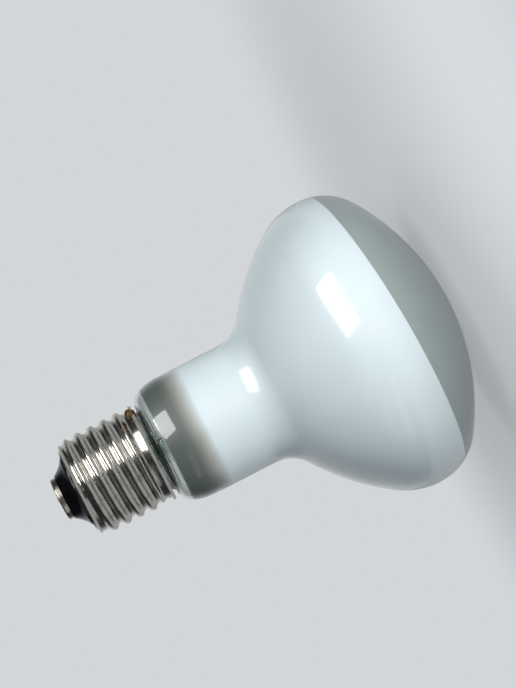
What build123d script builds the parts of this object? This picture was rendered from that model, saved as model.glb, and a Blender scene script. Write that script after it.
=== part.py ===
from build123d import *
from math import asin, cos, pi, radians, sin, sqrt
import os

# Reptile heat lamp: an 80 mm reflector bulb on an Edison screw cap 27 mm across.
# Millimetres. The lamp stands on the middle of its domed face, cap up.
# The Z axis is the lamp's axis, and the origin is where the face touches the ground.

# Glass envelope
BULB_DIAMETER = 80.0
GLASS_WALL = 0.7
FACE_FLAT_RADIUS = 3.0  # the very middle of the face is flat, and the lamp stands on it
DOME_END_DEG = 35.0  # the face's dome ends where its tangent climbs at this angle
RIM_RADIUS = 14.4  # the rounded edge of the face
RIM_END_DEG = 82.5
BOWL_RADIUS = 18.6  # the bowl around and above its widest circle
BOWL_END_DEG = 124.0
FLANK_RADIUS = 64.0  # the long flank of the reflector
FLANK_END_DEG = 145.0
FLARE_RADIUS = 9.3  # the hollow curve from the flank into the neck
SHOULDER_RADIUS = 14.0
SHOULDER_TURN_DEG = 25.0
SHOULDER_EDGE_RADIUS = 3.8
SEAL_CURVE_RADIUS = 1.2
CAP_TO_SHOULDER = 0.9  # air between the shoulder's top and the cap's rim
SEAL_DEPTH = 10.5  # how far the narrowed neck reaches into the cap

# Cap shell, from the glass up
RIM_HEIGHT = 84.0  # height of the cap's rim above the face
SHELL_WALL = 0.3
THREAD_PITCH = 3.629
THREAD_ROOT_RADIUS = 12.13
KNUCKLE_RADIUS = 1.025  # crest and root of the rolled thread are arcs of this radius
THREAD_START = RIM_HEIGHT + 2.4
THREAD_END = RIM_HEIGHT + 20.0
THREAD_RUN_IN = 1.6  # length over which the thread rises at each end
CREST_OFFSET = 4.09  # a crest is this far above the rim on the +X side
CHORDS_PER_PITCH = 8  # 0.45 mm chords stay within 0.03 mm of the arcs
CHORDS_PER_BEND = 4  # for the skirt's bow, half the hem and the rolled end
SECTIONS = 16
BEAD_RADIUS = 0.4  # the hem rolled at the rim
BEAD_CENTRE_RADIUS = 13.0
SKIRT_BOW = 0.22  # how far the skirt stands out of the root circle halfway to the hem
SKIRT_BOW_HEIGHT = 0.95  # and how far below the thread's start
SKIRT_INNER_BOW = 0.17  # the same for the skirt's inner face
SKIRT_INNER_BOW_HEIGHT = 1.05
ROLL_IN_RADIUS = 1.5
SHELL_MOUTH_RADIUS = 9.4  # the opening that holds the black glass

# Contact end
INSULATOR_CLEARANCE = 0.03
INSULATOR_DEPTH = 1.4  # how far the black glass reaches below the shell's roll
INSULATOR_TOP_RADIUS = 6.0
INSULATOR_HOLLOW = 0.3  # how far the cone's side is hollowed
CONTACT_RADIUS = 5.6
CONTACT_SHEET = 0.4
CONTACT_SEAT = RIM_HEIGHT + 25.0
CONTACT_HEIGHT = RIM_HEIGHT + 26.4
EYELET_RADIUS = 1.6
EYELET_LENGTH = 6.0
SOLDER_RADIUS = 2.2
SOLDER_HEIGHT = 0.4
SOLDER_PLUG = 0.6

# Cement and side solder
CEMENT_BOTTOM = RIM_HEIGHT + 1.9
CEMENT_TOP = RIM_HEIGHT + 10.0
CEMENT_RADIUS = 11.78
SIDE_SOLDER_RADIUS = 0.95
SIDE_SOLDER_CENTRE = 13.2
SIDE_SOLDER_HEIGHT = RIM_HEIGHT + 0.95
SOLDER_CLEARANCE = 0.01
SOLDER_BACK = 1.0  # how far the shape that cuts the solder's back reaches behind the skirt

# Stem: a flared glass tube pinched flat around the two wires
FLARE_LIP = 0.8
STEM_TUBE_RADIUS = 4.4
STEM_WALL = 0.8
STEM_FLARE_HEIGHT = 6.0
FLARE_GAP = 0.6  # between the funnel's wide end and the neck's bore
FLARE_LIP_WIDTH = 0.7
FLARE_BEND_OUT = 0.27  # the funnel's side bends this share of the way out
FLARE_BEND_DOWN = 0.36  # and this share of the way down
FLARE_WALL_OUT = 0.62  # from the funnel's outer face to its inner one at the bend
FLARE_WALL_UP = 0.55
PRESS_TOP = 79.0
PRESS_BEND = 74.5
PRESS_BOTTOM = 66.0
PRESS_WIDTH = 10.5
PRESS_THICKNESS = 3.4
PRESS_EDGE = 1.2
EXHAUST_RADIUS = 1.7
EXHAUST_BORE = 1.1
EXHAUST_TIP = 99.0
EXHAUST_TIP_RADIUS = 0.7
EXHAUST_TAPER = 2.6
EXHAUST_HOLE_RADIUS = 0.7
EXHAUST_HOLE_HEIGHT = 77.0
ROD_RADIUS = 1.3
ROD_BOTTOM = 51.5
BUTTON_RADIUS = 2.2
SHIELD_HEIGHT = 62.0
SHIELD_RADIUS = 15.2
SHIELD_SHEET = 0.3
SHIELD_LIP = 1.2
BUTTON_FLATNESS = 0.75
SUPPORT_SEAT = 1.4  # a support's end inside the button, from the axis

# Wires
LEAD_SPACING = 4.8
LEAD_RADIUS = 0.2
SEAL_LEAD_RADIUS = 0.3
INNER_LEAD_RADIUS = 0.35
SHIELD_HOLE_RADIUS = 0.8
WIRE_GAP = 0.05  # air between the side wire and the cap's hem
SIDE_LEAD_LOOP = 2.6  # the side wire bends over this far above the neck's end
SIDE_LEAD_RISE = 3.6  # and leaves the stem's middle this far below that
SIDE_LEAD_KNEE = 7.6  # distance from the axis at which it runs level
SIDE_LEAD_FOOT = 0.7  # it leaves the cement this far above the rim
SIDE_LEAD_INSET = 0.3  # from the inside of the hem
SIDE_LEAD_END = 0.9  # above the rim, inside the solder
CENTRE_LEAD_BEND = (0.5, 3.5)  # above the exhaust tube's tip: where the centre wire turns in and up

# Filament
FILAMENT_HEIGHT = 43.0
FILAMENT_ARC_RADIUS = 8.0
FILAMENT_START_DEG = -20.0
FILAMENT_END_DEG = 200.0
FILAMENT_COIL_RADIUS = 0.5
FILAMENT_CLEARANCE = 0.02
LEAD_BELOW_COIL = 1.0  # the stiff wires end this far below the coil's middle
LEAD_BEND_ABOVE_COIL = 6.5
LEAD_BEND_BELOW_SHIELD = 3.5
SUPPORT_COUNT = 4
SUPPORT_RADIUS = 0.15
SUPPORT_LOOP_RADIUS = 0.68
SUPPORT_KNEE = (1.6, 1.2)  # in from the coil's circle, and below the button's middle


def glass_path(offset):
    """Edges of the envelope's outline in the XZ plane, offset inwards from its outer face.

    Each stretch turns to an angle with a radius: positive radii bulge, negative ones are hollow.
    The dome's radius follows from the widest radius and the turns after it.
    """
    dome_end = radians(DOME_END_DEG)
    rim_end = radians(RIM_END_DEG)
    rim_reach = RIM_RADIUS * (sin(rim_end) - sin(dome_end))
    bowl_reach = BOWL_RADIUS * (1 - sin(rim_end))
    dome_radius = (BULB_DIAMETER / 2 - rim_reach - bowl_reach) / sin(dome_end)
    bowl_end = radians(BOWL_END_DEG)
    flank_end = radians(FLANK_END_DEG)
    shoulder_end = radians(90 + SHOULDER_TURN_DEG)
    below_neck = [
        (dome_radius, dome_end),
        (RIM_RADIUS, rim_end),
        (BOWL_RADIUS, bowl_end),
        (FLANK_RADIUS, flank_end),
        (-FLARE_RADIUS, pi / 2),
    ]
    above_neck = [
        (SHOULDER_RADIUS, shoulder_end),
        (SHOULDER_EDGE_RADIUS, pi),
        (-SEAL_CURVE_RADIUS, pi / 2),
    ]
    angle = asin(FACE_FLAT_RADIUS / dome_radius)
    r, z = (dome_radius - offset) * sin(angle), offset * cos(angle)
    edges = [Edge.make_line((0, 0, z), (r, 0, z))]

    def arcs(stretches):
        nonlocal r, z, angle
        for radius, end in stretches:
            bend = radius - offset
            middle = (angle + end) / 2
            points = [
                (r + bend * (sin(a) - sin(angle)), z - bend * (cos(a) - cos(angle)))
                for a in (angle, middle, end)
            ]
            edges.append(Edge.make_three_point_arc(*[Vector(x, 0, y) for x, y in points]))
            (r, z), angle = points[-1], end

    def rise(to_height):
        nonlocal z
        edges.append(Edge.make_line((r, 0, z), (r, 0, to_height)))
        z = to_height

    arcs(below_neck)
    shoulder_turn = radians(SHOULDER_TURN_DEG)
    shoulder_height = SHOULDER_RADIUS * sin(shoulder_turn)
    edge_height = SHOULDER_EDGE_RADIUS * (1 - sin(shoulder_turn))
    rise(RIM_HEIGHT - CAP_TO_SHOULDER - shoulder_height - edge_height)
    arcs(above_neck)
    rise(RIM_HEIGHT + SEAL_DEPTH)
    return edges, r


def glass_envelope():
    """The blown bulb: one wall from the domed face to the neck's end inside the cap."""
    outer, seal_radius = glass_path(0.0)
    inner, bore_radius = glass_path(GLASS_WALL)
    pole = Edge.make_line((0, 0, 0), inner[0] @ 0)
    top = RIM_HEIGHT + SEAL_DEPTH
    lip = Edge.make_line((seal_radius, 0, top), (bore_radius, 0, top))
    outline = Wire(outer + [lip] + inner + [pole])
    return revolve(Face(outline), Axis.Z)


def thread_height(turns):
    """Height above the root of the rolled wave, which is arcs tangent to each other.

    A crest is at each whole number of turns.
    """
    half_turn = asin(THREAD_PITCH / 4 / KNUCKLE_RADIUS)
    along = abs((turns + 0.5) % 1 - 0.5) * THREAD_PITCH
    if along < THREAD_PITCH / 4:
        crest = 2 * KNUCKLE_RADIUS * (1 - cos(half_turn))
        return crest - KNUCKLE_RADIUS + sqrt(KNUCKLE_RADIUS**2 - along**2)
    from_root = THREAD_PITCH / 2 - along
    return KNUCKLE_RADIUS - sqrt(KNUCKLE_RADIUS**2 - from_root**2)


def thread_radius(z, turn):
    """Outer radius of the shell at a height and a part of a turn around the axis."""
    from_ends = min(z - THREAD_START, THREAD_END - z) / THREAD_RUN_IN
    rise = max(0.0, min(1.0, from_ends))
    rise = rise * rise * (3 - 2 * rise)
    turns = (z - RIM_HEIGHT - CREST_OFFSET) / THREAD_PITCH - turn
    return THREAD_ROOT_RADIUS + rise * thread_height(turns)


def thread_chain(turn):
    """Outer and inner points of the thread's section, the inner ones one wall further in."""
    steps = round((THREAD_END - THREAD_START) / THREAD_PITCH * CHORDS_PER_PITCH)
    step = (THREAD_END - THREAD_START) / steps
    heights = [THREAD_START + step * i for i in range(steps + 1)]
    outer = [(thread_radius(z, turn), z) for z in heights]
    inner = [(THREAD_ROOT_RADIUS - SHELL_WALL, THREAD_START)]
    for z in heights[1:-1]:
        slope = (thread_radius(z + 0.01, turn) - thread_radius(z - 0.01, turn)) / 0.02
        tilt = sqrt(1 + slope**2)
        inner.append((thread_radius(z, turn) - SHELL_WALL / tilt, z + SHELL_WALL * slope / tilt))
    inner.append((THREAD_ROOT_RADIUS - SHELL_WALL, THREAD_END))
    return outer, inner


def bend(start, middle, end, count=CHORDS_PER_BEND):
    """Points of radius and height along the circular arc through three points, its ends included."""
    arc = Edge.make_three_point_arc(*[Vector(r, 0, z) for r, z in (start, middle, end)])
    points = [arc @ (i / count) for i in range(count + 1)]
    return [(p.X, p.Z) for p in points]


def skirt_outside():
    """Points of the skirt's outer line: from under the hem, around it and up the bowed skirt."""
    slant = BEAD_RADIUS * sqrt(0.5)
    bead_z = RIM_HEIGHT + BEAD_RADIUS
    under = (BEAD_CENTRE_RADIUS, RIM_HEIGHT)
    side = (BEAD_CENTRE_RADIUS + BEAD_RADIUS, bead_z)
    above = (BEAD_CENTRE_RADIUS + slant, bead_z + slant)
    bow = (THREAD_ROOT_RADIUS + SKIRT_BOW, THREAD_START - SKIRT_BOW_HEIGHT)
    thread_foot = (THREAD_ROOT_RADIUS, THREAD_START)
    return bend(under, side, above) + bend(above, bow, thread_foot)[1:]


def skirt_inside():
    """Points of the skirt's inner line: down from the thread and around the hem to its underside."""
    slant = BEAD_RADIUS * sqrt(0.5)
    bead_z = RIM_HEIGHT + BEAD_RADIUS
    inner_radius = THREAD_ROOT_RADIUS - SHELL_WALL
    bow = (inner_radius + SKIRT_INNER_BOW, THREAD_START - SKIRT_INNER_BOW_HEIGHT)
    side = (BEAD_CENTRE_RADIUS - BEAD_RADIUS, bead_z)
    below = (BEAD_CENTRE_RADIUS - slant, bead_z - slant)
    under = (BEAD_CENTRE_RADIUS, RIM_HEIGHT)
    return bend((inner_radius, THREAD_START), bow, side) + bend(side, below, under)[1:]


def rolled_end():
    """Points of the shell's end: over the outer bend, across to the mouth and back underneath."""
    top = THREAD_END + ROLL_IN_RADIUS
    centre = THREAD_ROOT_RADIUS - ROLL_IN_RADIUS
    over = ROLL_IN_RADIUS * sqrt(0.5)
    inner_radius = ROLL_IN_RADIUS - SHELL_WALL
    under = inner_radius * sqrt(0.5)
    outer = bend((THREAD_ROOT_RADIUS, THREAD_END), (centre + over, THREAD_END + over), (centre, top))
    inner = bend(
        (centre, top - SHELL_WALL),
        (centre + under, THREAD_END + under),
        (centre + inner_radius, THREAD_END),
    )
    return outer + [(SHELL_MOUTH_RADIUS, top), (SHELL_MOUTH_RADIUS, top - SHELL_WALL)] + inner


def shell_section(turn):
    """The closed section of the cap's sheet in the half plane at a part of a turn."""
    angle = 2 * pi * turn
    outer, inner = thread_chain(turn)
    outline = outer + rolled_end()[1:] + inner[-2::-1] + skirt_inside()[1:] + skirt_outside()[1:-1]
    return Wire.make_polygon([(r * cos(angle), r * sin(angle), z) for r, z in outline], close=True)


def cap_shell():
    """Thin sheet rolled into a right-handed screw: a loft through sections around the axis."""
    sections = [shell_section(i / SECTIONS) for i in range(SECTIONS)]
    sections.append(sections[0])
    return Solid.make_loft(sections)


def turned(points):
    """A solid turned about the axis from a closed chain of radius and height."""
    outline = Wire.make_polygon([(r, 0, z) for r, z in points], close=True)
    return revolve(Face(outline), Axis.Z)


def cap_insulator():
    """Black glass cast into the shell's end: a flange inside, a cone outside, a boss on top."""
    wall = SHELL_WALL + INSULATOR_CLEARANCE
    side = THREAD_ROOT_RADIUS - wall
    roll_centre = THREAD_ROOT_RADIUS - ROLL_IN_RADIUS
    roll = (ROLL_IN_RADIUS - wall) * sqrt(0.5)
    top = THREAD_END + ROLL_IN_RADIUS
    mouth = SHELL_MOUTH_RADIUS - INSULATOR_CLEARANCE
    low = THREAD_END - INSULATOR_DEPTH
    boss = CONTACT_RADIUS - CONTACT_SHEET
    under_contact = CONTACT_HEIGHT - CONTACT_SHEET
    cone_middle = (mouth + INSULATOR_TOP_RADIUS) / 2 - INSULATOR_HOLLOW
    flange_top = Vector(side, 0, THREAD_END)
    under_roll = Vector(roll_centre, 0, top - wall)
    cone_foot = Vector(mouth, 0, top + SHELL_WALL)
    cone_top = Vector(INSULATOR_TOP_RADIUS, 0, CONTACT_SEAT)
    bore_foot = Vector(EYELET_RADIUS, 0, low)
    edges = [
        Edge.make_line(bore_foot, (side, 0, low)),
        Edge.make_line((side, 0, low), flange_top),
        Edge.make_three_point_arc(flange_top, Vector(roll_centre + roll, 0, THREAD_END + roll), under_roll),
        Edge.make_line(under_roll, (mouth, 0, top - wall)),
        Edge.make_line((mouth, 0, top - wall), cone_foot),
        Edge.make_three_point_arc(cone_foot, Vector(cone_middle, 0, (top + CONTACT_SEAT) / 2), cone_top),
        Edge.make_line(cone_top, (boss, 0, CONTACT_SEAT)),
        Edge.make_line((boss, 0, CONTACT_SEAT), (boss, 0, under_contact)),
        Edge.make_line((boss, 0, under_contact), (EYELET_RADIUS, 0, under_contact)),
        Edge.make_line((EYELET_RADIUS, 0, under_contact), bore_foot),
    ]
    return revolve(Face(Wire(edges)), Axis.Z)


def centre_contact():
    """Pressed brass eyelet: a shallow cup over the boss and a barrel down the glass's hole."""
    boss = CONTACT_RADIUS - CONTACT_SHEET
    under = CONTACT_HEIGHT - CONTACT_SHEET
    bore = EYELET_RADIUS - CONTACT_SHEET
    bottom = under - EYELET_LENGTH
    cup = turned(
        [
            (bore, bottom),
            (EYELET_RADIUS, bottom),
            (EYELET_RADIUS, under),
            (boss, under),
            (boss, CONTACT_SEAT),
            (CONTACT_RADIUS, CONTACT_SEAT),
            (CONTACT_RADIUS, CONTACT_HEIGHT),
            (bore, CONTACT_HEIGHT),
        ]
    )
    rims = [e for e in cup.edges().filter_by(GeomType.CIRCLE) if abs(e.radius - CONTACT_RADIUS) < 0.01]
    top_rim = [e for e in rims if abs(e.center().Z - CONTACT_HEIGHT) < 0.01]
    return fillet(top_rim, CONTACT_SHEET * 0.9)


def centre_solder():
    """A low dome of solder on the contact, with a plug that closes the eyelet."""
    base = CONTACT_HEIGHT
    bore = EYELET_RADIUS - CONTACT_SHEET
    ball_radius = (SOLDER_RADIUS**2 + SOLDER_HEIGHT**2) / (2 * SOLDER_HEIGHT)
    ball = Pos(0, 0, base + SOLDER_HEIGHT - ball_radius) * Sphere(ball_radius)
    dome = ball & Pos(0, 0, base + SOLDER_HEIGHT) * Box(
        2 * SOLDER_RADIUS + 1, 2 * SOLDER_RADIUS + 1, 2 * SOLDER_HEIGHT
    )
    plug = Pos(0, 0, base - SOLDER_PLUG / 2) * Cylinder(bore, SOLDER_PLUG)
    return dome + plug


def tube(points, radii, wire_radius):
    """A round wire along straight runs joined by tangent arcs."""
    if len(points) == 2:
        path = Wire([Edge.make_line(*[Vector(*p) for p in points])])
    else:
        path = Wire(FilletPolyline(*[Vector(*p) for p in points], radius=radii).edges())
    plane = Plane(origin=path @ 0, z_dir=path % 0)
    return sweep(plane * Circle(wire_radius), path=path)


def centre_lead():
    """Copper wire from the press to the plug of solder in the contact."""
    x = -LEAD_SPACING / 2
    points = [
        (x, 0, PRESS_TOP),
        (x, 0, EXHAUST_TIP + CENTRE_LEAD_BEND[0]),
        (0, 0, EXHAUST_TIP + CENTRE_LEAD_BEND[1]),
        (0, 0, CONTACT_HEIGHT - SOLDER_PLUG),
    ]
    return tube(points, [1.5, 1.5], LEAD_RADIUS)


def side_lead():
    """Copper wire from the press around the neck's end, through the cement and over the rim."""
    x = LEAD_SPACING / 2
    seal_radius = glass_path(0.0)[1]
    in_cement = (seal_radius + CEMENT_RADIUS) / 2
    below_rim = RIM_HEIGHT - LEAD_RADIUS - WIRE_GAP
    inside_rim = BEAD_CENTRE_RADIUS - BEAD_RADIUS - LEAD_RADIUS - SIDE_LEAD_INSET
    outside_rim = BEAD_CENTRE_RADIUS + BEAD_RADIUS + LEAD_RADIUS + WIRE_GAP
    mouth = RIM_HEIGHT + SEAL_DEPTH + SIDE_LEAD_LOOP
    points = [
        (x, 0, PRESS_TOP),
        (x, 0, mouth - SIDE_LEAD_RISE),
        (SIDE_LEAD_KNEE, 0, mouth),
        (in_cement, 0, mouth),
        (in_cement, 0, RIM_HEIGHT + SIDE_LEAD_FOOT),
        (inside_rim, 0, below_rim),
        (outside_rim, 0, below_rim),
        (outside_rim, 0, RIM_HEIGHT + SIDE_LEAD_END),
    ]
    return tube(points, [2.5, 1.5, 1.2, 0.6, 0.4, 0.28], LEAD_RADIUS)


def side_solder(wire):
    """A small lump of solder where the side wire meets the shell's skirt.

    A turned copy of the skirt's outer line, a hair wider, shapes its back.
    """
    lump = Pos(SIDE_SOLDER_CENTRE, 0, SIDE_SOLDER_HEIGHT) * Sphere(SIDE_SOLDER_RADIUS)
    front = [(r + SOLDER_CLEARANCE, z) for r, z in skirt_outside()]
    behind = THREAD_ROOT_RADIUS - SOLDER_BACK
    below = RIM_HEIGHT - SOLDER_BACK
    skirt = turned([(front[0][0], below)] + front + [(behind, THREAD_START), (behind, below)])
    cut = lump - skirt - wire
    return max(cut.solids(), key=lambda solid: solid.volume)


def cap_cement(wire):
    """The ring of cement between neck and shell, with the side wire's channel in it."""
    seal_radius = glass_path(0.0)[1]
    ring = turned(
        [
            (seal_radius, CEMENT_BOTTOM),
            (CEMENT_RADIUS, CEMENT_BOTTOM),
            (CEMENT_RADIUS, CEMENT_TOP),
            (seal_radius, CEMENT_TOP),
        ]
    )
    return ring - wire


def stem_flare():
    """Glass foot of the stem: lip, funnel and tube, pinched flat below around the wires."""
    top = RIM_HEIGHT + SEAL_DEPTH
    seal_radius, bore_radius = glass_path(0.0)[1], glass_path(GLASS_WALL)[1]
    wide = bore_radius - FLARE_GAP
    inner = STEM_TUBE_RADIUS - STEM_WALL
    turn_height = top - STEM_FLARE_HEIGHT

    def at(r, z):
        return Vector(r, 0, z)

    def line(a, b):
        return Edge.make_line(at(*a), at(*b))

    outer_foot = (STEM_TUBE_RADIUS, turn_height)
    outer_bend = (
        STEM_TUBE_RADIUS + (wide - STEM_TUBE_RADIUS) * FLARE_BEND_OUT,
        top - STEM_FLARE_HEIGHT * FLARE_BEND_DOWN,
    )
    outer_end = (wide, top)
    inner_foot = (inner, turn_height)
    inner_bend = (outer_bend[0] - FLARE_WALL_OUT, outer_bend[1] + FLARE_WALL_UP)
    inner_end = (wide - FLARE_LIP_WIDTH, top + FLARE_LIP)
    edges = [
        line((inner, PRESS_TOP), (STEM_TUBE_RADIUS, PRESS_TOP)),
        line((STEM_TUBE_RADIUS, PRESS_TOP), outer_foot),
        Edge.make_three_point_arc(at(*outer_foot), at(*outer_bend), at(*outer_end)),
        line(outer_end, (seal_radius, top)),
        line((seal_radius, top), (seal_radius, top + FLARE_LIP)),
        line((seal_radius, top + FLARE_LIP), inner_end),
        Edge.make_three_point_arc(at(*inner_end), at(*inner_bend), at(*inner_foot)),
        line(inner_foot, (inner, PRESS_TOP)),
    ]
    funnel = revolve(Face(Wire(edges)), Axis.Z)
    round_end = Plane.XY.offset(PRESS_TOP) * Circle(STEM_TUBE_RADIUS)
    flat_end = Plane.XY.offset(PRESS_BEND) * RectangleRounded(PRESS_WIDTH, PRESS_THICKNESS, PRESS_EDGE)
    pinch = loft([round_end, flat_end])
    block = extrude(flat_end, PRESS_BOTTOM - PRESS_BEND, dir=(0, 0, 1))
    press = pinch + block
    for side in (-1, 1):
        hole = Cylinder(SEAL_LEAD_RADIUS, PRESS_TOP - PRESS_BOTTOM)
        press -= Pos(side * LEAD_SPACING / 2, 0, (PRESS_TOP + PRESS_BOTTOM) / 2) * hole
    bore_depth = PRESS_TOP - EXHAUST_HOLE_HEIGHT
    press -= Pos(0, 0, EXHAUST_HOLE_HEIGHT + bore_depth / 2) * Cylinder(EXHAUST_BORE, bore_depth)
    reach = 2 * STEM_TUBE_RADIUS
    side_hole = Cylinder(EXHAUST_HOLE_RADIUS, reach, rotation=(90, 0, 0))
    press -= Pos(0, -reach / 2, EXHAUST_HOLE_HEIGHT + EXHAUST_HOLE_RADIUS) * side_hole
    return funnel + press


def exhaust_tube():
    """The thin tube that the air was drawn through, drawn out to a closed tip."""
    tip = EXHAUST_TIP
    shoulder = tip - EXHAUST_TAPER
    tube_and_tip = turned(
        [
            (0, PRESS_TOP),
            (EXHAUST_RADIUS, PRESS_TOP),
            (EXHAUST_RADIUS, shoulder),
            (EXHAUST_TIP_RADIUS, tip),
            (0, tip),
        ]
    )
    rims = tube_and_tip.edges().filter_by(GeomType.CIRCLE)
    drawn = fillet([e for e in rims if abs(e.center().Z - tip) < 0.01], EXHAUST_TIP_RADIUS * 0.8)
    bore = turned(
        [
            (0, PRESS_TOP),
            (EXHAUST_BORE, PRESS_TOP),
            (EXHAUST_BORE, shoulder),
            (0, tip - EXHAUST_TAPER / 2),
        ]
    )
    return drawn - bore


def stem_rod(supports):
    """Glass rod below the press, melted into a button around the supports' ends."""
    length = PRESS_BOTTOM - ROD_BOTTOM
    rod = Pos(0, 0, ROD_BOTTOM + length / 2) * Cylinder(ROD_RADIUS, length)
    button = Pos(0, 0, ROD_BOTTOM) * scale(Sphere(BUTTON_RADIUS), by=(1, 1, BUTTON_FLATNESS))
    glass = rod + button
    for wire in supports:
        glass -= wire
    return glass


def heat_shield():
    """Bright metal disc across the neck, with a turned-down lip and holes for the wires."""
    disc = turned(
        [
            (ROD_RADIUS, SHIELD_HEIGHT),
            (SHIELD_RADIUS - SHIELD_SHEET, SHIELD_HEIGHT),
            (SHIELD_RADIUS - SHIELD_SHEET, SHIELD_HEIGHT - SHIELD_LIP),
            (SHIELD_RADIUS, SHIELD_HEIGHT - SHIELD_LIP),
            (SHIELD_RADIUS, SHIELD_HEIGHT + SHIELD_SHEET),
            (ROD_RADIUS, SHIELD_HEIGHT + SHIELD_SHEET),
        ]
    )
    for side in (-1, 1):
        hole = Cylinder(SHIELD_HOLE_RADIUS, 4 * SHIELD_SHEET)
        disc -= Pos(side * LEAD_SPACING / 2, 0, SHIELD_HEIGHT) * hole
    return disc


def seal_lead(side):
    """The short stretch of wire that the press grips."""
    length = PRESS_TOP - PRESS_BOTTOM
    place = Pos(side * LEAD_SPACING / 2, 0, (PRESS_TOP + PRESS_BOTTOM) / 2)
    return place * Cylinder(SEAL_LEAD_RADIUS, length)


def filament_point(angle_deg, radius=FILAMENT_ARC_RADIUS, height=FILAMENT_HEIGHT):
    """A point at an angle around the filament's arc."""
    return (radius * cos(radians(angle_deg)), radius * sin(radians(angle_deg)), height)


def inner_lead(side):
    """Stiff wire from the press out to the filament's end."""
    angle = FILAMENT_START_DEG if side > 0 else FILAMENT_END_DEG
    x = side * LEAD_SPACING / 2
    end = filament_point(angle, height=FILAMENT_HEIGHT - LEAD_BELOW_COIL)
    points = [
        (x, 0, PRESS_BOTTOM),
        (x, 0, SHIELD_HEIGHT - LEAD_BEND_BELOW_SHIELD),
        (end[0], end[1], FILAMENT_HEIGHT + LEAD_BEND_ABOVE_COIL),
        end,
    ]
    return tube(points, [3.0, 3.0], INNER_LEAD_RADIUS)


def filament():
    """The tungsten coil's round outside, bent to an arc between the two wires."""
    clear = (INNER_LEAD_RADIUS + FILAMENT_CLEARANCE) / FILAMENT_ARC_RADIUS * 180 / pi
    start, end = FILAMENT_START_DEG + clear, FILAMENT_END_DEG - clear
    points = [Vector(*filament_point(a)) for a in (start, (start + end) / 2, end)]
    path = Wire([Edge.make_three_point_arc(*points)])
    return sweep(Plane(origin=path @ 0, z_dir=path % 0) * Circle(FILAMENT_COIL_RADIUS), path=path)


def filament_support(index):
    """A fine hook: out of the button, down to the coil, and a loop around it."""
    span = (FILAMENT_END_DEG - FILAMENT_START_DEG) / (SUPPORT_COUNT + 1)
    angle = FILAMENT_START_DEG + span * (index + 1)
    loop = SUPPORT_LOOP_RADIUS
    points = [
        filament_point(angle, SUPPORT_SEAT, ROD_BOTTOM),
        filament_point(angle, FILAMENT_ARC_RADIUS - SUPPORT_KNEE[0], ROD_BOTTOM - SUPPORT_KNEE[1]),
        filament_point(angle, FILAMENT_ARC_RADIUS, FILAMENT_HEIGHT + loop),
    ]
    wire = tube(points, [1.5], SUPPORT_RADIUS)
    x, y, z = filament_point(angle)
    ring = Plane(origin=(x, y, z), z_dir=(-sin(radians(angle)), cos(radians(angle)), 0))
    return wire + ring * Torus(loop, SUPPORT_RADIUS)


def main():
    os.makedirs("parts", exist_ok=True)
    side_wire = side_lead()
    supports = [filament_support(index) for index in range(SUPPORT_COUNT)]
    pieces = {
        "glass_envelope": glass_envelope(),
        "cap_shell": cap_shell(),
        "cap_insulator": cap_insulator(),
        "centre_contact": centre_contact(),
        "centre_solder": centre_solder(),
        "side_solder": side_solder(side_wire),
        "cap_cement": cap_cement(side_wire),
        "stem_flare": stem_flare(),
        "exhaust_tube": exhaust_tube(),
        "stem_rod": stem_rod(supports),
        "heat_shield": heat_shield(),
        "centre_lead": centre_lead(),
        "side_lead": side_wire,
        "centre_seal_lead": seal_lead(-1),
        "side_seal_lead": seal_lead(1),
        "centre_inner_lead": inner_lead(-1),
        "side_inner_lead": inner_lead(1),
        "filament": filament(),
    }
    for number, support in enumerate(supports, start=1):
        pieces[f"filament_support_{number}"] = support
    for name, piece in pieces.items():
        export_step(piece, f"parts/{name}.step")


main()
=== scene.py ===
from math import asin, ceil, cos, pi, radians, sin, sqrt, tau

import bpy
import numpy as np
from mathutils import Matrix, Vector


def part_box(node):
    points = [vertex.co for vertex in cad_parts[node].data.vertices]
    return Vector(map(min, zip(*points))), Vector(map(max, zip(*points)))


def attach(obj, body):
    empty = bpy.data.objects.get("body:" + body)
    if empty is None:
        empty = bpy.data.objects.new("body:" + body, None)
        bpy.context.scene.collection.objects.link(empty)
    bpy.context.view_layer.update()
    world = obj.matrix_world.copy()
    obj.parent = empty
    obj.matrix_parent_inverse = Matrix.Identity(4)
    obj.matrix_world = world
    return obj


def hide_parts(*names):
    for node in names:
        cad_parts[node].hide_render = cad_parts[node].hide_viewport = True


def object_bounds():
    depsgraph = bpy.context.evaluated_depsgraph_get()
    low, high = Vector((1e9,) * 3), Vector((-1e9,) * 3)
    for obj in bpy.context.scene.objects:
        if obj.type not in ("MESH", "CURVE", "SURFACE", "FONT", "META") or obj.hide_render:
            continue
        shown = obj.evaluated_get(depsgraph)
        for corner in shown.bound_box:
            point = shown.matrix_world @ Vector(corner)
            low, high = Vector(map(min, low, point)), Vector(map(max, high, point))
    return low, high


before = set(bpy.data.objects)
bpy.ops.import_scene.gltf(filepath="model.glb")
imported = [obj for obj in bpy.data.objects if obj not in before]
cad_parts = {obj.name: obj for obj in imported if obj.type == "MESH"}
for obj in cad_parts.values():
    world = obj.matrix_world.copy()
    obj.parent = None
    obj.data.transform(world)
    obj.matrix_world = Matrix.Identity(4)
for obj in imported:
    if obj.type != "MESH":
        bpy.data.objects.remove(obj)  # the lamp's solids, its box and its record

# Reptile heat lamp, standing on its face with the cap up, seen by a camera rolled as the photo's was.
# Blender's unit is the metre: a length named in millimetres is multiplied by MM. Z is the lamp's axis.
MM = 0.001
CAD_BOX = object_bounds()

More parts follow.
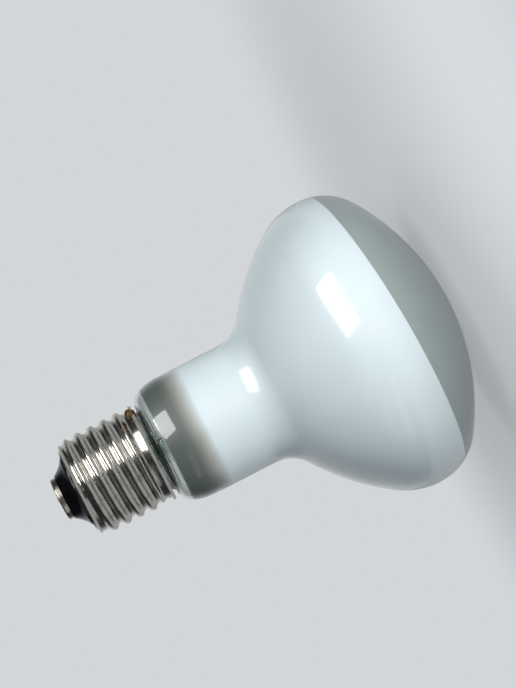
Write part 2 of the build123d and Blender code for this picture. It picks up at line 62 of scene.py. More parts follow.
# Glass bulb: a chain of tangent arcs, each a radius and the line's heading in degrees where it ends
BULB_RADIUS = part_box("glass_envelope")[1].x
GLASS_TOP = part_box("glass_envelope")[1].z
RIM_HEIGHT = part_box("cap_shell")[0].z
GLASS_WALL = 0.7 * MM
FACE_FLAT_RADIUS = 3.0 * MM
DOME_END_DEG = 35.0
FACE_RIM_ARC = (14.4 * MM, 82.5)
BOWL_ARC = (18.6 * MM, 124.0)
FLANK_ARC = (64.0 * MM, 145.0)
FLARE_ARC = (-9.3 * MM, 90.0)
SHOULDER_ARC = (14.0 * MM, 115.0)
SHOULDER_EDGE_ARC = (3.8 * MM, 180.0)
SEAL_ARC = (-1.2 * MM, 90.0)
CAP_TO_SHOULDER = 0.9 * MM

# Finishes of the glass: heights above the face in millimetres
COAT_EDGE = 17.58  # the white coating starts here, above the frosted face
COAT_EDGE_TILT = (0.0564, 0.023)  # its edge's rise for each millimetre to the right and to the back
COAT_EDGE_BLUR = 0.1
COAT_END = 70.0  # its full cover ends here, on the neck
COAT_BARE = 76.2  # and it has thinned to nothing here
COAT_THINNING = 2.2  # the power by which its cover falls off between the two
COAT_WAVER = 1.6  # the end of the coating wavers along the neck by less than this
STAIN_START = COAT_END + 1.5  # the bare glass beside the coating is brown here
STAIN_END = COAT_BARE + 1.0  # and plain grey haze from here
CLEAR_START = 80.2  # above this the inside was wiped clear
CLEAR_BLUR = 0.15
HAZE_OPENNESS = 0.35  # the share of light that passes the haze
HAZE_ROUGHNESS = 0.42  # also that of the face and the coating, under the glass's glossy skin
CLEAR_ROUGHNESS = 0.02

# Patterns in the finishes, sizes in millimetres
HAZE_PATCH = 11.0
TINT_PATCH = 20.0
ROLLER_MARK = (7.0, 0.28)  # length round the cap, and width
SMUDGE = 2.2

# Cap
SHELL_WALL = 0.3 * MM
THREAD_PITCH = 3.629 * MM
THREAD_ROOT_RADIUS = 12.13 * MM
KNUCKLE_RADIUS = 1.025 * MM
THREAD_START = RIM_HEIGHT + 2.4 * MM
THREAD_END = RIM_HEIGHT + 20.0 * MM
THREAD_RUN_IN = 1.6 * MM
CREST_OFFSET = 4.09 * MM
BEAD_RADIUS = 0.4 * MM
BEAD_CENTRE_RADIUS = 13.0 * MM
SKIRT_BOW = (0.22 * MM, 0.95 * MM)  # out of the root circle, and below the thread's start
SKIRT_INNER_BOW = (0.17 * MM, 1.05 * MM)
ROLL_IN_RADIUS = 1.5 * MM
SHELL_MOUTH_RADIUS = 9.4 * MM

# Solder joints: the domes' reach to the sides and their height
CONTACT_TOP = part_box("centre_contact")[1].z
CONTACT_SOLDER = (2.0 * MM, 2.0 * MM, 0.4 * MM)
RIM_SOLDER_PLACE = (13.1 * MM, 0, RIM_HEIGHT + 1.1 * MM)
RIM_SOLDER = (1.7 * MM, 1.1 * MM, 1.3 * MM)  # round the rim, along the axis and outwards
# their edges wander by these sines, each with its swing, its waves round the edge and its shift
SOLDER_WANDER = ((0.08, 2, 0), (0.06, 3, 1), (0.03, 7, 0))
SOLDER_DIP = 0.1

# Filament, a coil along an arc
FILAMENT_HEIGHT = 43.0 * MM
FILAMENT_ARC_RADIUS = 8.0 * MM
FILAMENT_START_DEG = -20.0
FILAMENT_END_DEG = 200.0
FILAMENT_COIL_RADIUS = 0.5 * MM
FILAMENT_WIRE_RADIUS = 0.055 * MM
FILAMENT_PITCH = 0.16 * MM

# Camera and studio, both turned about the lamp's axis so that the solder joint shows as in the photo
VIEW_TURN = Matrix.Rotation(radians(30), 3, "Z")
PHOTO_HEIGHT = 688
SENSOR = 36.0
FOCAL_PIXELS = 1950.0
CAMERA_PLACE = Vector((12.32, -495.0, 82.2)) * MM
CAMERA_DOWN_DEG = 3.97
CAMERA_ROLL_DEG = -117.02

# Studio
BACKGROUND = "#D3D6D8"
PAPER = "#E4E6E7"
FLOOR_REACH = 3.0
FLOOR_GLOW = 0.45  # the share of the floor's own glow under the lamp
FLOOR_FADE = (0.02, 0.2)  # the floor turns to glow alone between these distances
GLOW_AS_LIGHT = 1.1  # strength of the glow where it lights pale surfaces
GLOW_IN_REFLECTIONS = 0.6
DIM_ROOM = "#2C2F32"
AMBIENT_FROM = (0.45, 0.75, 0.48)  # the pale side of the light from all round: right, back and above
AMBIENT_DIM = "#141A20"
AMBIENT_PALE = "#5A6167"


def linear(hex_colour):
    """An sRGB hex colour as linear red, green, blue and alpha."""
    channels = np.array([int(hex_colour[i : i + 2], 16) for i in (1, 3, 5)]) / 255
    curved = ((channels + 0.055) / 1.055) ** 2.4
    return (*np.where(channels <= 0.04045, channels / 12.92, curved).tolist(), 1.0)


# Meshes


def add_piece(name, points, faces, finish, replaced=(), sharp_deg=40.0):
    """A named piece of the lamp, smooth but for edges sharper than an angle."""
    mesh = bpy.data.meshes.new(name)
    mesh.from_pydata(points.tolist(), [], faces)
    mesh.validate()
    mesh.shade_smooth()
    mesh.set_sharp_from_angle(angle=radians(sharp_deg))
    mesh.materials.append(finish)
    piece = bpy.data.objects.new(name, mesh)
    bpy.context.scene.collection.objects.link(piece)
    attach(piece, "root")
    if replaced:
        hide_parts(*replaced)
    return piece


def quads(rows, columns, closed_rows):
    """Faces of a grid whose columns close round: each joins two neighbours in a row and the two above."""
    row = np.arange(rows if closed_rows else rows - 1)[:, None]
    column = np.arange(columns)[None, :]
    above, after = (row + 1) % rows, (column + 1) % columns
    corners = np.broadcast_arrays(
        row * columns + column, row * columns + after, above * columns + after, above * columns + column
    )
    return np.stack(corners, -1).reshape(-1, 4)


def turned(outline, columns):
    """Points and faces of an outline of radii and heights carried round the axis.

    Point (i, j) stands at radius i times (cos, sin) of j turns over the number of columns.
    An outline that starts and ends on the axis is closed there by fans, and any other closes on itself.
    """
    on_axis = outline[0, 0] < 1e-9
    ring = outline[1:-1] if on_axis else outline
    angle = np.arange(columns) * tau / columns
    radius, height = ring[:, :1], ring[:, 1:]
    points = np.stack([radius * np.cos(angle), radius * np.sin(angle), height + 0 * angle], -1)
    points = points.reshape(-1, 3)
    faces = quads(len(ring), columns, closed_rows=not on_axis).tolist()
    if not on_axis:
        return points, faces
    poles = np.array([[0, 0, outline[0, 1]], [0, 0, outline[-1, 1]]])
    here = np.arange(columns)
    after = (here + 1) % columns
    last_ring = len(points) - columns
    faces += np.stack([0 * here + len(points), after, here], -1).tolist()
    faces += np.stack([0 * here + len(points) + 1, last_ring + here, last_ring + after], -1).tolist()
    return np.concatenate([points, poles]), faces


def arc(start, heading_deg, radius, end_deg, spacing):
    """Points after start along an arc that turns from one heading to another.

    A point is the start plus the radius times the change in (sin, -cos) of the heading.
    """
    count = max(3, ceil(abs(radius * radians(end_deg - heading_deg)) / spacing))
    heading = np.radians(np.linspace(heading_deg, end_deg, count + 1)[1:])
    r = start[0] + radius * (np.sin(heading) - sin(radians(heading_deg)))
    z = start[1] - radius * (np.cos(heading) - cos(radians(heading_deg)))
    return np.stack([r, z], -1)


def line(start, end, spacing):
    """Evenly spaced points after start along a straight line to end."""
    count = max(1, ceil(np.hypot(end[0] - start[0], end[1] - start[1]) / spacing))
    share = np.linspace(0, 1, count + 1)[1:, None]
    return np.array(start) * (1 - share) + np.array(end) * share


def bend(start, middle, end, count):
    """Points after start along the circular arc through three points, worked out on the complex plane."""
    a, b, c = (complex(*p) for p in (start, middle, end))
    ratio = (c - a) / (b - a)
    centre = a + (a - b) * (ratio - abs(ratio) ** 2) / (2j * ratio.imag)
    turn = np.angle((c - centre) / (a - centre))
    if turn * np.angle((b - centre) / (a - centre)) < 0:
        turn -= tau * np.sign(turn)
    along = centre + (a - centre) * np.exp(1j * turn * np.linspace(0, 1, count + 1)[1:])
    return np.stack([along.real, along.imag], -1)


def glass_line(inset, spacing):
    """Radii and heights of the bulb's wall, inset from its outer face: a flat, arcs, a straight neck, arcs.

    The dome's radius is what the widest radius leaves over once the face's rim and the bowl have turned.
    """
    heading = DOME_END_DEG
    reach = FACE_RIM_ARC[0] * (sin(radians(FACE_RIM_ARC[1])) - sin(radians(heading)))
    reach += BOWL_ARC[0] * (1 - sin(radians(FACE_RIM_ARC[1])))
    dome_radius = (BULB_RADIUS - reach) / sin(radians(heading))
    below = [(dome_radius, heading), FACE_RIM_ARC, BOWL_ARC, FLANK_ARC, FLARE_ARC]
    above = [SHOULDER_ARC, SHOULDER_EDGE_ARC, SEAL_ARC]
    shoulder_rise = SHOULDER_ARC[0] * -cos(radians(SHOULDER_ARC[1]))
    shoulder_rise += SHOULDER_EDGE_ARC[0] * (1 + cos(radians(SHOULDER_ARC[1])))
    neck_end = RIM_HEIGHT - CAP_TO_SHOULDER - shoulder_rise
    flat_turn = asin(FACE_FLAT_RADIUS / dome_radius)
    level = inset * cos(flat_turn)
    points = [np.array([[0.0, level], [(dome_radius - inset) * sin(flat_turn), level]])]
    heading = np.degrees(flat_turn)
    for radius, end in below:
        points.append(arc(points[-1][-1], heading, radius - inset, end, spacing))
        heading = end
    points.append(line(points[-1][-1], (points[-1][-1][0], neck_end), spacing))
    for radius, end in above:
        points.append(arc(points[-1][-1], heading, radius - inset, end, spacing / 2))
        heading = end
    points.append(line(points[-1][-1], (points[-1][-1][0], GLASS_TOP), spacing))
    return np.concatenate(points)


def make_bulb(finish):
    """The blown glass: its outer line up to the seal and its inner line back, carried round the axis."""
    columns, outer_spacing, inner_spacing = 256, 0.8 * MM, 1.4 * MM
    outer = glass_line(0.0, outer_spacing)
    inner = glass_line(GLASS_WALL, inner_spacing)[::-1]
    points, faces = turned(np.concatenate([outer, inner]), columns)
    return add_piece("bulb_glass", points, faces, finish, ["glass_envelope"])


def thread_lift(height, turn):
    """How far the rolled wave stands out of the root circle.

    Crest and root are arcs of one radius, tangent to each other a quarter pitch from the crest, and the
    crest climbs one pitch a turn. The wave fades in over the run-in at each end.
    """
    crest_height = 2 * KNUCKLE_RADIUS * (1 - cos(asin(THREAD_PITCH / 4 / KNUCKLE_RADIUS)))
    turns = (height - RIM_HEIGHT - CREST_OFFSET) / THREAD_PITCH - turn
    along = np.abs((turns + 0.5) % 1 - 0.5) * THREAD_PITCH
    from_root = THREAD_PITCH / 2 - along
    near_crest = crest_height - KNUCKLE_RADIUS + np.sqrt(np.maximum(KNUCKLE_RADIUS**2 - along**2, 0))
    near_root = KNUCKLE_RADIUS - np.sqrt(np.maximum(KNUCKLE_RADIUS**2 - from_root**2, 0))
    wave = np.where(along < THREAD_PITCH / 4, near_crest, near_root)
    share = np.clip(np.minimum(height - THREAD_START, THREAD_END - height) / THREAD_RUN_IN, 0, 1)
    return share * share * (3 - 2 * share) * wave


def make_cap_shell(finish):
    """Sheet rolled into a screw: each angle's section is thread, rolled end, inner face, skirt and hem.

    The threaded stretch is the root circle plus thread_lift, and its inner face is one wall further in
    along the section's own normal. The rest is the same at every angle.
    """
    columns, thread_rows, inner_rows = 240, 176, 88
    turn = np.arange(columns)[None, :] / columns
    height = np.linspace(THREAD_START, THREAD_END, thread_rows + 1)[:, None]
    outer = np.stack([THREAD_ROOT_RADIUS + thread_lift(height, turn), height + 0 * turn], -1)
    height = np.linspace(THREAD_END, THREAD_START, inner_rows + 1)[:, None]
    step = 0.01 * MM
    slope = (thread_lift(height + step, turn) - thread_lift(height - step, turn)) / (2 * step)
    slope[[0, -1]] = 0
    tilt = np.sqrt(1 + slope**2)
    inner = np.stack(
        [
            THREAD_ROOT_RADIUS + thread_lift(height, turn) - SHELL_WALL / tilt,
            height + SHELL_WALL * slope / tilt,
        ],
        -1,
    )
    top = THREAD_END + ROLL_IN_RADIUS
    under_top = top - SHELL_WALL
    inner_radius = THREAD_ROOT_RADIUS - SHELL_WALL
    roll_centre = THREAD_ROOT_RADIUS - ROLL_IN_RADIUS
    over, under = ROLL_IN_RADIUS * sqrt(0.5), (ROLL_IN_RADIUS - SHELL_WALL) * sqrt(0.5)
    outer_bend = (roll_centre + over, THREAD_END + over)
    inner_bend = (roll_centre + under, THREAD_END + under)
    end = np.concatenate(
        [
            bend((THREAD_ROOT_RADIUS, THREAD_END), outer_bend, (roll_centre, top), 12),
            [[SHELL_MOUTH_RADIUS, top], [SHELL_MOUTH_RADIUS, under_top], [roll_centre, under_top]],
            bend((roll_centre, under_top), inner_bend, (inner_radius, THREAD_END), 8)[:-1],
        ]
    )
    slant = BEAD_RADIUS * sqrt(0.5)
    bead_height = RIM_HEIGHT + BEAD_RADIUS
    bead_in = (BEAD_CENTRE_RADIUS - BEAD_RADIUS, bead_height)
    bead_low = (BEAD_CENTRE_RADIUS, RIM_HEIGHT)
    bead_out = (BEAD_CENTRE_RADIUS + slant, bead_height + slant)
    inner_bow = (inner_radius + SKIRT_INNER_BOW[0], THREAD_START - SKIRT_INNER_BOW[1])
    outer_bow = (THREAD_ROOT_RADIUS + SKIRT_BOW[0], THREAD_START - SKIRT_BOW[1])
    skirt = np.concatenate(
        [
            bend((inner_radius, THREAD_START), inner_bow, bead_in, 10),
            bend(bead_in, (BEAD_CENTRE_RADIUS - slant, bead_height - slant), bead_low, 8),
            bend(bead_low, (BEAD_CENTRE_RADIUS + BEAD_RADIUS, bead_height), bead_out, 12),
            bend(bead_out, outer_bow, (THREAD_ROOT_RADIUS, THREAD_START), 14)[:-1],
        ]
    )

    def all_round(section):
        return np.broadcast_to(section[:, None, :], (len(section), columns, 2))

    sheet = np.concatenate([outer, all_round(end), inner, all_round(skirt)])
    radius, level = sheet[..., 0], sheet[..., 1]
    angle = tau * turn
    points = np.stack([radius * np.cos(angle), radius * np.sin(angle), level], -1).reshape(-1, 3)
    faces = quads(len(sheet), columns, closed_rows=True).tolist()
    return add_piece("threaded_cap", points, faces, finish, ["cap_shell"], sharp_deg=60)


def make_solder(name, finish, replaced, size, place, out, turn):
    """A low dome of solder with a wandering edge, its back sunk into what it sits on.

    Its outline is a quarter circle over a short plug, carried round the out axis and stretched to the two
    reaches and the height that size gives. The reaches are also multiplied by one plus a sum of slow sines
    of the angle round that axis, and the height dips towards the edge by a sine of it.
    """
    columns, dome_rows = 72, 14
    plug = [[0, -0.6], [0.7, -0.6], [0.96, -0.12]]
    share = np.linspace(0, pi / 2, dome_rows)
    dome = np.stack([np.cos(share), np.sin(share)], -1)
    outline = np.concatenate([plug, dome])
    outline[-1, 0] = 0
    points, faces = turned(outline, columns)
    angle = np.arctan2(points[:, 1], points[:, 0]) + turn
    wander = 1 + sum(swing * np.sin(waves * angle + shift) for swing, waves, shift in SOLDER_WANDER)
    dip = 1 - SOLDER_DIP * (1 + np.sin(3 * angle + turn)) * np.hypot(points[:, 0], points[:, 1])
    local = points * np.stack([size[0] * wander, size[1] * wander, size[2] * dip], -1)
    side = np.array([0.0, 1.0, 0.0])
    out = np.array(out, float)
    axes = np.stack([side, np.cross(out, side), out])
    return add_piece(name, np.array(place) + local @ axes, faces, finish, replaced)


def make_filament(finish):
    """The coiled wire: a fine helix wound round an arc that lies level.

    The coil's centre goes round the arc while the wire goes round it once a pitch, and the wire is a tube
    of five sides whose section turns with the helix.
    """
    around, sides = 10, 5
    start, end = radians(FILAMENT_START_DEG), radians(FILAMENT_END_DEG)
    turns = round(FILAMENT_ARC_RADIUS * (end - start) / FILAMENT_PITCH)
    step = np.arange(turns * around + 1)
    along = start + (end - start) * step / step[-1]
    round_coil = tau * step / around
    outward = np.stack([np.cos(along), np.sin(along), 0 * along], -1)
    spoke = np.cos(round_coil)[:, None] * outward + np.sin(round_coil)[:, None] * np.array([0, 0, 1.0])
    middle = FILAMENT_ARC_RADIUS * outward + np.array([0, 0, FILAMENT_HEIGHT])
    wire = middle + (FILAMENT_COIL_RADIUS - FILAMENT_WIRE_RADIUS) * spoke
    heading = np.gradient(wire, axis=0)
    heading /= np.linalg.norm(heading, axis=1)[:, None]
    across = np.cross(heading, spoke)
    angle = (tau * np.arange(sides) / sides)[None, :, None]
    ring = np.cos(angle) * spoke[:, None] + np.sin(angle) * across[:, None]
    points = (wire[:, None] + FILAMENT_WIRE_RADIUS * ring).reshape(-1, 3)
    faces = quads(len(step), sides, closed_rows=False)[:, ::-1].tolist()
    last = len(step) * sides
    faces += [list(range(sides)), list(range(last - 1, last - sides - 1, -1))]
    return add_piece("filament_coil", points, faces, finish, ["filament"], sharp_deg=80)


# Finishes


def new_finish(name):
    """An empty material and its node tree."""
    made = bpy.data.materials.new(name)
    made.use_nodes = True
    made.node_tree.nodes.clear()
    return made, made.node_tree


def add_node(tree, kind, inputs=None, **settings):
    """A node with its settings, and each input set to a value or linked to a socket."""
    made = tree.nodes.new(kind)
    for key, value in settings.items():
        setattr(made, key, value)
    for key, value in (inputs or {}).items():
        if isinstance(value, bpy.types.NodeSocket):
            tree.links.new(value, made.inputs[key])
        else:
            made.inputs[key].default_value = value
    return made


def millimetres(tree):
    """Object coordinates in millimetres."""
    place = add_node(tree, "ShaderNodeTexCoord").outputs["Object"]
    return add_node(tree, "ShaderNodeVectorMath", {0: place, "Scale": 1 / MM}, operation="SCALE").outputs[0]


def bulb_glass():
    """Blown soda-lime glass: frosted inside on the face, coated white up to the neck, hazed, then clear.

    The eye gets one glossy skin over a grey-green face, a cool white bowl, a grey, half see-through band on
    the neck and a clear shoulder. Shadow rays pass what is see-through, so that light gets in there.
    """
    finish, tree = new_finish("blown_glass_coated_inside")
    place = millimetres(tree)
    height = add_node(tree, "ShaderNodeSeparateXYZ", {0: place}).outputs["Z"]
    upright = Vector((0, 0, 1)) - VIEW_TURN @ Vector((*COAT_EDGE_TILT, 0))
    level = add_node(tree, "ShaderNodeVectorMath", {0: place, 1: upright}, operation="DOT_PRODUCT")
    coated = add_node(
        tree,
        "ShaderNodeMapRange",
        {
            "Value": level.outputs["Value"],
            "From Min": COAT_EDGE - COAT_EDGE_BLUR,
            "From Max": COAT_EDGE + COAT_EDGE_BLUR,
        },
    ).outputs[0]
    drift = add_node(
        tree, "ShaderNodeTexNoise", {"Vector": place, "Scale": 1 / HAZE_PATCH, "Detail": 3.0}
    ).outputs[0]
    wavy = add_node(
        tree, "ShaderNodeMath", {0: drift, 1: COAT_WAVER, 2: height}, operation="MULTIPLY_ADD"
    ).outputs[0]
    coat_left = add_node(
        tree, "ShaderNodeMapRange", {"Value": wavy, "From Min": COAT_BARE, "From Max": COAT_END}
    ).outputs[0]
    coat_left = add_node(
        tree, "ShaderNodeMath", {0: coat_left, 1: COAT_THINNING}, operation="POWER"
    ).outputs[0]
    bare = add_node(tree, "ShaderNodeMath", {0: 1.0, 1: coat_left}, operation="SUBTRACT").outputs[0]
    stained = add_node(
        tree,
        "ShaderNodeMapRange",
        {"Value": wavy, "From Min": STAIN_END, "From Max": STAIN_START},
        interpolation_type="SMOOTHSTEP",
    ).outputs[0]
    clear = add_node(
        tree,
        "ShaderNodeMapRange",
        {"Value": height, "From Min": CLEAR_START - CLEAR_BLUR, "From Max": CLEAR_START + CLEAR_BLUR},
    ).outputs[0]
    cloud = add_node(
        tree, "ShaderNodeTexNoise", {"Vector": place, "Scale": 1 / TINT_PATCH, "Detail": 4.0}
    ).outputs[0]
    # each pair of colours drifts with the noise, and each zone covers the one below it
    colour = None
    for cover, share, first, second in (
        (1.0, cloud, "#8E9A99", "#9CA8A6"),
        (coated, cloud, "#D7E6EA", "#E3F0F3"),
        (bare, stained, "#6E7875", "#A6A193"),
        (clear, cloud, "#EDF2F0", "#E6EEEB"),
    ):
        zone = {0: share, 6: linear(first), 7: linear(second)}
        zone = add_node(tree, "ShaderNodeMix", zone, data_type="RGBA").outputs[2]
        over = {0: cover, 6: colour or zone, 7: zone}
        colour = add_node(tree, "ShaderNodeMix", over, data_type="RGBA").outputs[2]
    hazed = add_node(tree, "ShaderNodeMath", {0: bare, 1: HAZE_OPENNESS}, operation="MULTIPLY").outputs[0]
    seen_through = add_node(tree, "ShaderNodeMath", {0: hazed, 1: clear}, operation="MAXIMUM").outputs[0]
    roughness = add_node(
        tree, "ShaderNodeMapRange", {"Value": clear, "To Min": HAZE_ROUGHNESS, "To Max": CLEAR_ROUGHNESS}
    ).outputs[0]
    glass = add_node(
        tree,
        "ShaderNodeBsdfPrincipled",
        {
            "Base Color": colour,
            "Roughness": roughness,
            "IOR": 1.5,
            "Transmission Weight": seen_through,
            "Coat Weight": 1.0,
            "Coat Roughness": 0.035,
            "Coat IOR": 1.6,
        },
    ).outputs[0]
    lamp_ray = add_node(tree, "ShaderNodeLightPath").outputs["Is Shadow Ray"]
    passed = add_node(
        tree, "ShaderNodeMath", {0: lamp_ray, 1: seen_through}, operation="MULTIPLY"
    ).outputs[0]
    air = add_node(tree, "ShaderNodeBsdfTransparent").outputs[0]
    both = add_node(tree, "ShaderNodeMixShader", {0: passed, 1: glass, 2: air}).outputs[0]
    add_node(tree, "ShaderNodeOutputMaterial", {"Surface": both})
    return finish


def nickel_plate():
    """Bright nickel on rolled brass sheet.

    The eye gets soft, streaky reflections, with dull greasy smudges and fine roller marks round the cap.
    """
    smudge_from, smudge_full = 0.52, 0.72
    clean_roughness, greasy_roughness = 0.17, 0.34
    mark_depth, mark_strength = 0.02 * MM, 0.16
    finish, tree = new_finish("bright_nickel_plate")
    place = millimetres(tree)
    marks = (1 / ROLLER_MARK[0], 1 / ROLLER_MARK[0], 1 / ROLLER_MARK[1])
    flat = add_node(tree, "ShaderNodeMapping", {"Vector": place, "Scale": marks}).outputs[0]
    rolled = add_node(tree, "ShaderNodeTexNoise", {"Vector": flat, "Scale": 1.0, "Detail": 3.0}).outputs[0]
    smudge = add_node(
        tree, "ShaderNodeTexNoise", {"Vector": place, "Scale": 1 / SMUDGE, "Detail": 5.0}
    ).outputs[0]
    greasy = add_node(
        tree, "ShaderNodeMapRange", {"Value": smudge, "From Min": smudge_from, "From Max": smudge_full}
    ).outputs[0]
    colour = add_node(
        tree, "ShaderNodeMix", {0: greasy, 6: linear("#D6D3CB"), 7: linear("#B3AEA2")}, data_type="RGBA"
    ).outputs[2]
    roughness = add_node(
        tree, "ShaderNodeMapRange", {"Value": greasy, "To Min": clean_roughness, "To Max": greasy_roughness}
    ).outputs[0]
    relief = add_node(
        tree, "ShaderNodeBump", {"Strength": mark_strength, "Distance": mark_depth, "Height": rolled}
    ).outputs[0]
    shell = add_node(
        tree,
        "ShaderNodeBsdfPrincipled",
        {"Base Color": colour, "Metallic": 1.0, "Roughness": roughness, "Normal": relief},
    ).outputs[0]
    add_node(tree, "ShaderNodeOutputMaterial", {"Surface": shell})
    return finish


def grained_finish(name, light, dark, grain, roughness, relief, **sockets):
    """A finish whose colour and roughness drift between two values, with a relief from the same noise.

    grain is the size of its patches in millimetres, and relief their height. The patches blend between two
    values of the noise, on either side of its mean.
    """
    blend_from, blend_to = 0.38, 0.62
    finish, tree = new_finish(name)
    place = millimetres(tree)
    noise = add_node(
        tree, "ShaderNodeTexNoise", {"Vector": place, "Scale": 1 / grain, "Detail": 5.0}
    ).outputs[0]
    patch = add_node(
        tree, "ShaderNodeMapRange", {"Value": noise, "From Min": blend_from, "From Max": blend_to}
    ).outputs[0]
    colour = add_node(
        tree, "ShaderNodeMix", {0: patch, 6: linear(light), 7: linear(dark)}, data_type="RGBA"
    ).outputs[2]
    sheen = add_node(
        tree, "ShaderNodeMapRange", {"Value": patch, "To Min": roughness[0], "To Max": roughness[1]}
    ).outputs[0]
    bumpy = add_node(
        tree, "ShaderNodeBump", {"Strength": 1.0, "Distance": relief * MM, "Height": noise}
    ).outputs[0]
    inputs = {"Base Color": colour, "Roughness": sheen, "Normal": bumpy}
    inputs.update({key.replace("_", " "): value for key, value in sockets.items()})
    surface = add_node(tree, "ShaderNodeBsdfPrincipled", inputs).outputs[0]
    add_node(tree, "ShaderNodeOutputMaterial", {"Surface": surface})
    return finish


def paint(node, finish):
    """Gives a solid of the frame its finish."""
    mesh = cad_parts[node].data
    mesh.materials.clear()
    mesh.materials.append(finish)


# Studio


def make_floor():
    """A level pale floor that fades, with distance, into the plain background.

    Part of it glows in the background's colour, so that it stays pale in the soft shadow of the lamp. The
    glow is a little stronger where it lights pale surfaces, and weaker where it is seen in reflections.
    """
    mesh = bpy.data.meshes.new("studio_floor")
    corners = [(x * FLOOR_REACH, y * FLOOR_REACH, 0) for x, y in ((-1, -1), (1, -1), (1, 1), (-1, 1))]
    mesh.from_pydata(corners, [], [(0, 1, 2, 3)])
    finish, tree = new_finish("seamless_paper")
    place = add_node(tree, "ShaderNodeTexCoord").outputs["Object"]
    far = add_node(tree, "ShaderNodeVectorMath", {0: place}, operation="LENGTH").outputs["Value"]
    fade = add_node(
        tree,
        "ShaderNodeMapRange",
        {"Value": far, "From Min": FLOOR_FADE[0], "From Max": FLOOR_FADE[1], "To Min": FLOOR_GLOW},
        interpolation_type="SMOOTHSTEP",
    ).outputs[0]
    paper = add_node(tree, "ShaderNodeBsdfDiffuse", {"Color": linear(PAPER)}).outputs[0]
    path = add_node(tree, "ShaderNodeLightPath").outputs
    glow = 1.0
    for ray, strength in (("Is Diffuse Ray", GLOW_AS_LIGHT), ("Is Glossy Ray", GLOW_IN_REFLECTIONS)):
        glow = add_node(
            tree, "ShaderNodeMapRange", {"Value": path[ray], "To Min": glow, "To Max": strength}
        ).outputs[0]
    plain = add_node(tree, "ShaderNodeEmission", {"Color": linear(BACKGROUND), "Strength": glow}).outputs[0]
    both = add_node(tree, "ShaderNodeMixShader", {0: fade, 1: paper, 2: plain}).outputs[0]
    add_node(tree, "ShaderNodeOutputMaterial", {"Surface": both})
    mesh.materials.append(finish)
    floor = bpy.data.objects.new("studio_floor", mesh)
    bpy.context.scene.collection.objects.link(floor)


def make_background():
    """A plain pale world for the eye, also through glass.

    Reflections see it behind the lamp and a dim room on the camera's side. The light from all round is
    pale on one side, behind, above and to the right, and fades to dim and bluish on the other.
    """
    world = bpy.data.worlds.new("studio")
    world.use_nodes = True
    world.node_tree.nodes.clear()
    tree = world.node_tree
    bpy.context.scene.world = world
    toward = add_node(tree, "ShaderNodeTexCoord").outputs["Generated"]
    path = add_node(tree, "ShaderNodeLightPath").outputs
    # in each row: a kind of ray or None for all, a direction, its dim and pale cosines, and their colours
    light = None
    for ray, direction, dim_at, pale_at, dim, pale in (
        (None, AMBIENT_FROM, -0.7, 1.0, AMBIENT_DIM, AMBIENT_PALE),
        ("Is Glossy Ray", (0, 1, 0), 0.5, 1.0, DIM_ROOM, BACKGROUND),
        ("Is Camera Ray", (0, 1, 0), 0.5, 1.0, BACKGROUND, BACKGROUND),
        ("Is Transmission Ray", (0, 1, 0), 0.5, 1.0, BACKGROUND, BACKGROUND),
    ):
        turned_too = VIEW_TURN @ Vector(direction)
        along = add_node(tree, "ShaderNodeVectorMath", {0: toward, 1: turned_too}, operation="DOT_PRODUCT")
        share = add_node(
            tree,
            "ShaderNodeMapRange",
            {"Value": along.outputs["Value"], "From Min": dim_at, "From Max": pale_at},
            interpolation_type="SMOOTHSTEP",
        ).outputs[0]
        seen = {0: share, 6: linear(dim), 7: linear(pale)}
        seen = add_node(tree, "ShaderNodeMix", seen, data_type="RGBA").outputs[2]
        over = {0: path[ray] if ray else 1.0, 6: light or seen, 7: seen}
        light = add_node(tree, "ShaderNodeMix", over, data_type="RGBA").outputs[2]
    shown = add_node(tree, "ShaderNodeBackground", {"Color": light, "Strength": 1.0}).outputs[0]
    add_node(tree, "ShaderNodeOutputWorld", {"Surface": shown})


def make_softbox(name, azimuth_deg, elevation_deg, distance, size, power):
    """A rectangular light aimed at the lamp, from an azimuth to the camera's right and an elevation."""
    azimuth, elevation = radians(azimuth_deg), radians(elevation_deg)
    aim = (CAD_BOX[0] + CAD_BOX[1]) / 2
    level = Vector((sin(azimuth), -cos(azimuth), 0))
    out = VIEW_TURN @ (level * cos(elevation) + Vector((0, 0, sin(elevation))))
    data = bpy.data.lights.new(name, "AREA")
    data.shape = "RECTANGLE"
    data.size, data.size_y = size
    data.energy = power
    box = bpy.data.objects.new(name, data)
    box.location = aim + out * distance
    box.rotation_euler = out.to_track_quat("Z", "Y").to_euler()
    bpy.context.scene.collection.objects.link(box)
    return box


def make_camera():
    """The photo's camera: level with the cap, tipped a little down, and rolled to lay the lamp aslant."""
    down, roll = radians(CAMERA_DOWN_DEG), radians(CAMERA_ROLL_DEG)
    forward = Vector((0, cos(down), -sin(down)))
    level, upright = Vector((1, 0, 0)), Vector((0, sin(down), cos(down)))
    right = level * cos(roll) + upright * sin(roll)
    up = right.cross(forward)
    data = bpy.data.cameras.new("photo_camera")
    data.sensor_width = SENSOR
    data.lens = FOCAL_PIXELS / PHOTO_HEIGHT * SENSOR
    data.clip_start, data.clip_end = 0.01, 20
    camera = bpy.data.objects.new("photo_camera", data)
    axes = Matrix((right, up, -forward)).transposed()
    camera.matrix_world = Matrix.Translation(VIEW_TURN @ CAMERA_PLACE) @ (VIEW_TURN @ axes).to_4x4()
    bpy.context.scene.collection.objects.link(camera)
    bpy.context.scene.camera = camera


# The lamp

make_bulb(bulb_glass())
make_cap_shell(nickel_plate())
# black glass cast into the cap: near black, with clean glints on soft dents
black = grained_finish("cast_black_glass", "#08080A", "#0F0F12", 2.5, (0.05, 0.16), 0.05)
# thin bright plating on pressed brass: a pale warm metal, a little tarnished
contact = grained_finish("plated_brass", "#CFCABD", "#A99F88", 1.6, (0.14, 0.34), 0.01, Metallic=1.0)
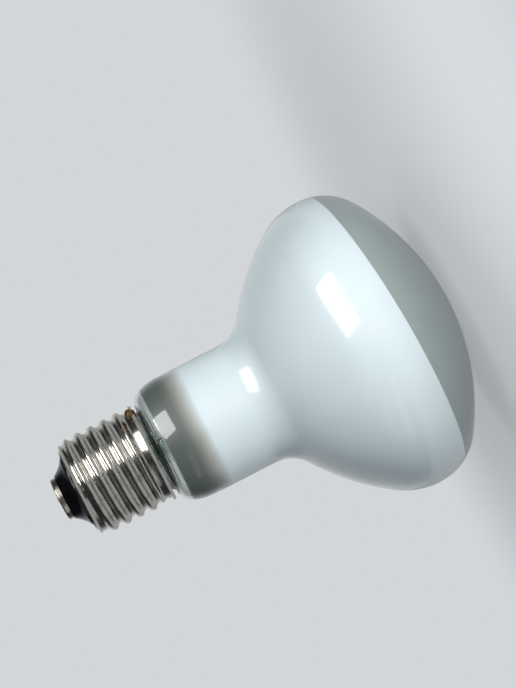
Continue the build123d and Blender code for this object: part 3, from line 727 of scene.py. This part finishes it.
# tin solder, melted and left to set: satin grey with duller, darker dross
solder = grained_finish("tin_solder", "#B9B3A6", "#8A7B62", 0.7, (0.25, 0.5), 0.06, Metallic=1.0)
# solder under burnt flux: a brown, resinous lump
flux = grained_finish("fluxed_solder", "#8C6B3E", "#4D3A22", 0.45, (0.2, 0.45), 0.08, Metallic=0.6)
# baked cement of resin and marble powder: a sandy matt ring
cement = grained_finish("basing_cement", "#B8AD97", "#8F846F", 0.5, (0.8, 0.95), 0.08)
# drawn lead glass: clear and smooth, faintly green
stem = grained_finish(
    "lead_glass", "#E4EBE8", "#DCE6E2", 3.0, (0.02, 0.05), 0.01, Transmission_Weight=1.0, IOR=1.56
)
# bright rolled sheet: a soft mirror
sheet = grained_finish("rolled_aluminium", "#DADCDD", "#C6C9CB", 1.5, (0.15, 0.3), 0.01, Metallic=1.0)
# bare copper wire, darkened in patches by the heat of sealing
copper = grained_finish("bare_copper", "#B87350", "#8A4F33", 0.8, (0.25, 0.45), 0.01, Metallic=1.0)
# drawn nickel wire: warm grey and half bright
wire = grained_finish("drawn_nickel", "#B5B1A8", "#918D85", 0.8, (0.2, 0.35), 0.01, Metallic=1.0)
# drawn tungsten wire: dark grey with a dull shine
tungsten = grained_finish("drawn_tungsten", "#5E5F63", "#3F4044", 0.4, (0.3, 0.5), 0.01, Metallic=1.0)
top = (0, 0, CONTACT_TOP)
make_solder("contact_solder", solder, ["centre_solder"], CONTACT_SOLDER, top, out=(0, 0, 1), turn=0.4)
make_solder("rim_solder", flux, ["side_solder"], RIM_SOLDER, RIM_SOLDER_PLACE, out=(1, 0, 0), turn=2.0)
make_filament(tungsten)
for finish, nodes in (
    (black, ["cap_insulator"]),
    (contact, ["centre_contact"]),
    (cement, ["cap_cement"]),
    (stem, ["stem_flare", "exhaust_tube", "stem_rod"]),
    (sheet, ["heat_shield"]),
    (copper, ["centre_lead", "side_lead", "centre_seal_lead", "side_seal_lead"]),
    (wire, ["centre_inner_lead", "side_inner_lead"]),
    (tungsten, [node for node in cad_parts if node.startswith("filament_support")]),
):
    for node in nodes:
        paint(node, finish)

# The studio

make_floor()
make_background()
# Lights: angles in degrees, distance and size in metres, power in watts, and the rays they are hidden from.
# The key is seen in reflections alone, and the last three light the lamp without being seen.
light_only = ["camera", "glossy", "transmission"]
for name, azimuth, elevation, distance, size, power, hidden_from in (
    ("key_softbox", 39, 28, 0.65, (0.50, 0.36), 3.6, ["diffuse"]),
    ("low_strip", -54, 10, 0.55, (0.6, 0.09), 0.07, []),
    ("key_fill", 34, 32, 0.65, (0.48, 0.30), 1.4, light_only),
    ("front_panel", 13, -4, 0.22, (0.12, 0.07), 0.225, light_only),
    ("back_softbox", 165, 30, 0.9, (0.6, 0.4), 3.0, light_only),
):
    box = make_softbox(name, azimuth, elevation, distance, size, power)
    for ray in hidden_from:
        setattr(box, f"visible_{ray}", False)
make_camera()
bpy.context.scene.view_settings.view_transform = "Standard"
